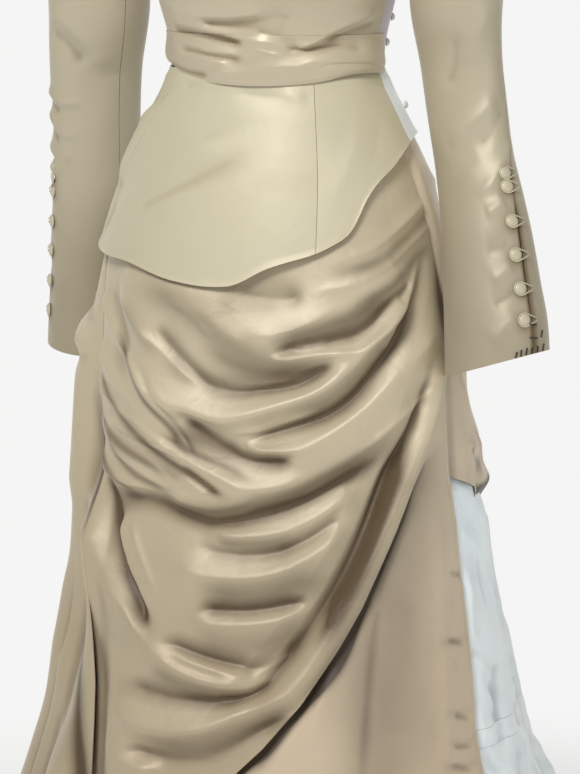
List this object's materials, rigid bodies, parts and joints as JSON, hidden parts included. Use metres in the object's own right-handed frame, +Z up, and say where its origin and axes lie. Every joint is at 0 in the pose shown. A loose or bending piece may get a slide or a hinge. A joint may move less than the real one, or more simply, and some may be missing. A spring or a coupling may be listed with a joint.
{
  "type": "edwardian dress",
  "caption": "Worn satin gown on no wearer: boned bodice with pointed basque, fitted buttoned sleeves, swagged apron overskirt, tail and pale trained underskirt.",
  "frame": {"origin": "middle of the line between the two shoulder points, where the wearer holds the gown up; the floor is 1.43 m below", "axes": "+X to the wearer's left, +Y to the wearer's back (the gown faces -Y), +Z up"},
  "size_m": [0.7801, 0.7967, 1.4354],
  "materials": {
    "gold_satin": "champagne gold duchesse satin, soft sheen",
    "pale_satin": "pale blue-white satin, soft sheen",
    "lilac_satin": "pale lilac-grey satin",
    "button_cover": "gold satin drawn over a domed button"
  },
  "bodies": {
    "root": {"bodice_front": "gold_satin", "basque_front_centre": "gold_satin", "basque_front_left": "gold_satin", "basque_front_right": "gold_satin", "waist_sash": "gold_satin", "skirt_drape": "gold_satin", "skirt_side_panel_left": "gold_satin", "skirt_lower_front": "gold_satin", "skirt_right_back": "gold_satin", "back_tail": "gold_satin", "sleeve_left_under": "gold_satin", "sleeve_left_upper": "gold_satin", "sleeve_right_under": "gold_satin", "sleeve_right_upper": "gold_satin", "bodice_back_left": "pale_satin", "bodice_back_right": "pale_satin", "basque_side_left": "pale_satin", "basque_side_right": "pale_satin", "basque_back_left": "pale_satin", "basque_back_right": "pale_satin", "underskirt_upper": "pale_satin", "underskirt_band": "pale_satin", "underskirt_flounce": "pale_satin", "bodice_side_left": "lilac_satin", "bodice_side_right": "lilac_satin", "cuff_button_left_1": "button_cover", "cuff_button_left_2": "button_cover", "cuff_button_left_3": "button_cover", "cuff_button_left_4": "button_cover", "cuff_button_left_5": "button_cover", "cuff_button_left_6": "button_cover", "cuff_button_right_1": "button_cover", "cuff_button_right_2": "button_cover", "cuff_button_right_3": "button_cover", "cuff_button_right_4": "button_cover", "cuff_button_right_5": "button_cover", "cuff_button_right_6": "button_cover", "seam_button_1": "button_cover", "seam_button_2": "button_cover", "seam_button_3": "button_cover"}
  },
  "joints": []
}
